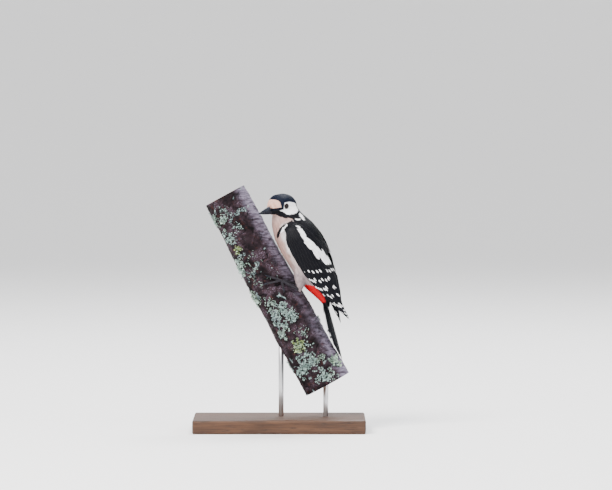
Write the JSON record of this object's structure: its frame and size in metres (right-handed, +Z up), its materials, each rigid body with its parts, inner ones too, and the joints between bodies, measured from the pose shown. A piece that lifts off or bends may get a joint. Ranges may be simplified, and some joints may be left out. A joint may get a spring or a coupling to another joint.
{
  "type": "great spotted woodpecker model on a perch and stand",
  "caption": "Life-size still model of a great spotted woodpecker clinging to a cut, lichened length of leaning trunk, on a plain display stand.",
  "frame": {"origin": "middle of the stand's underside, on the surface it stands on", "axes": "+Z up, +X towards the foot of the leaning trunk and the bird's back, -Y towards the bird's shown left side"},
  "size_m": [0.2, 0.128, 0.285],
  "materials": {
    "plumage": "black, white and buff feathers, satin",
    "wing_feathers": "black flight feathers with white bars, satin",
    "tail_feathers": "stiff black feathers, white barred outer pair",
    "eye": "wet dark red-brown",
    "bill": "slate grey horn, satin",
    "foot": "scaled grey skin",
    "claw": "dark horn",
    "bark": "rough purple-brown bark with pale cut ends",
    "lichen": "dry grey-green lichen",
    "stand_wood": "oiled walnut",
    "stand_steel": "brushed"
  },
  "bodies": {
    "root": {"head": "plumage", "neck": "plumage", "trunk": "plumage", "thigh_left": "plumage", "thigh_right": "plumage", "wing_left": "wing_feathers", "wing_right": "wing_feathers", "flight_left": "wing_feathers", "flight_right": "wing_feathers", "tail": "tail_feathers", "eye_left": "eye", "eye_right": "eye", "bill_upper": "bill", "bill_lower": "bill", "foot_left": "foot", "foot_right": "foot", "claw_inner_left": "claw", "claw_front_left": "claw", "claw_outer_left": "claw", "claw_hind_left": "claw", "claw_inner_right": "claw", "claw_front_right": "claw", "claw_outer_right": "claw", "claw_hind_right": "claw", "perch": "bark", "stand_base": "stand_wood", "stand_rod_long": "stand_steel", "stand_rod_short": "stand_steel"}
  },
  "joints": []
}
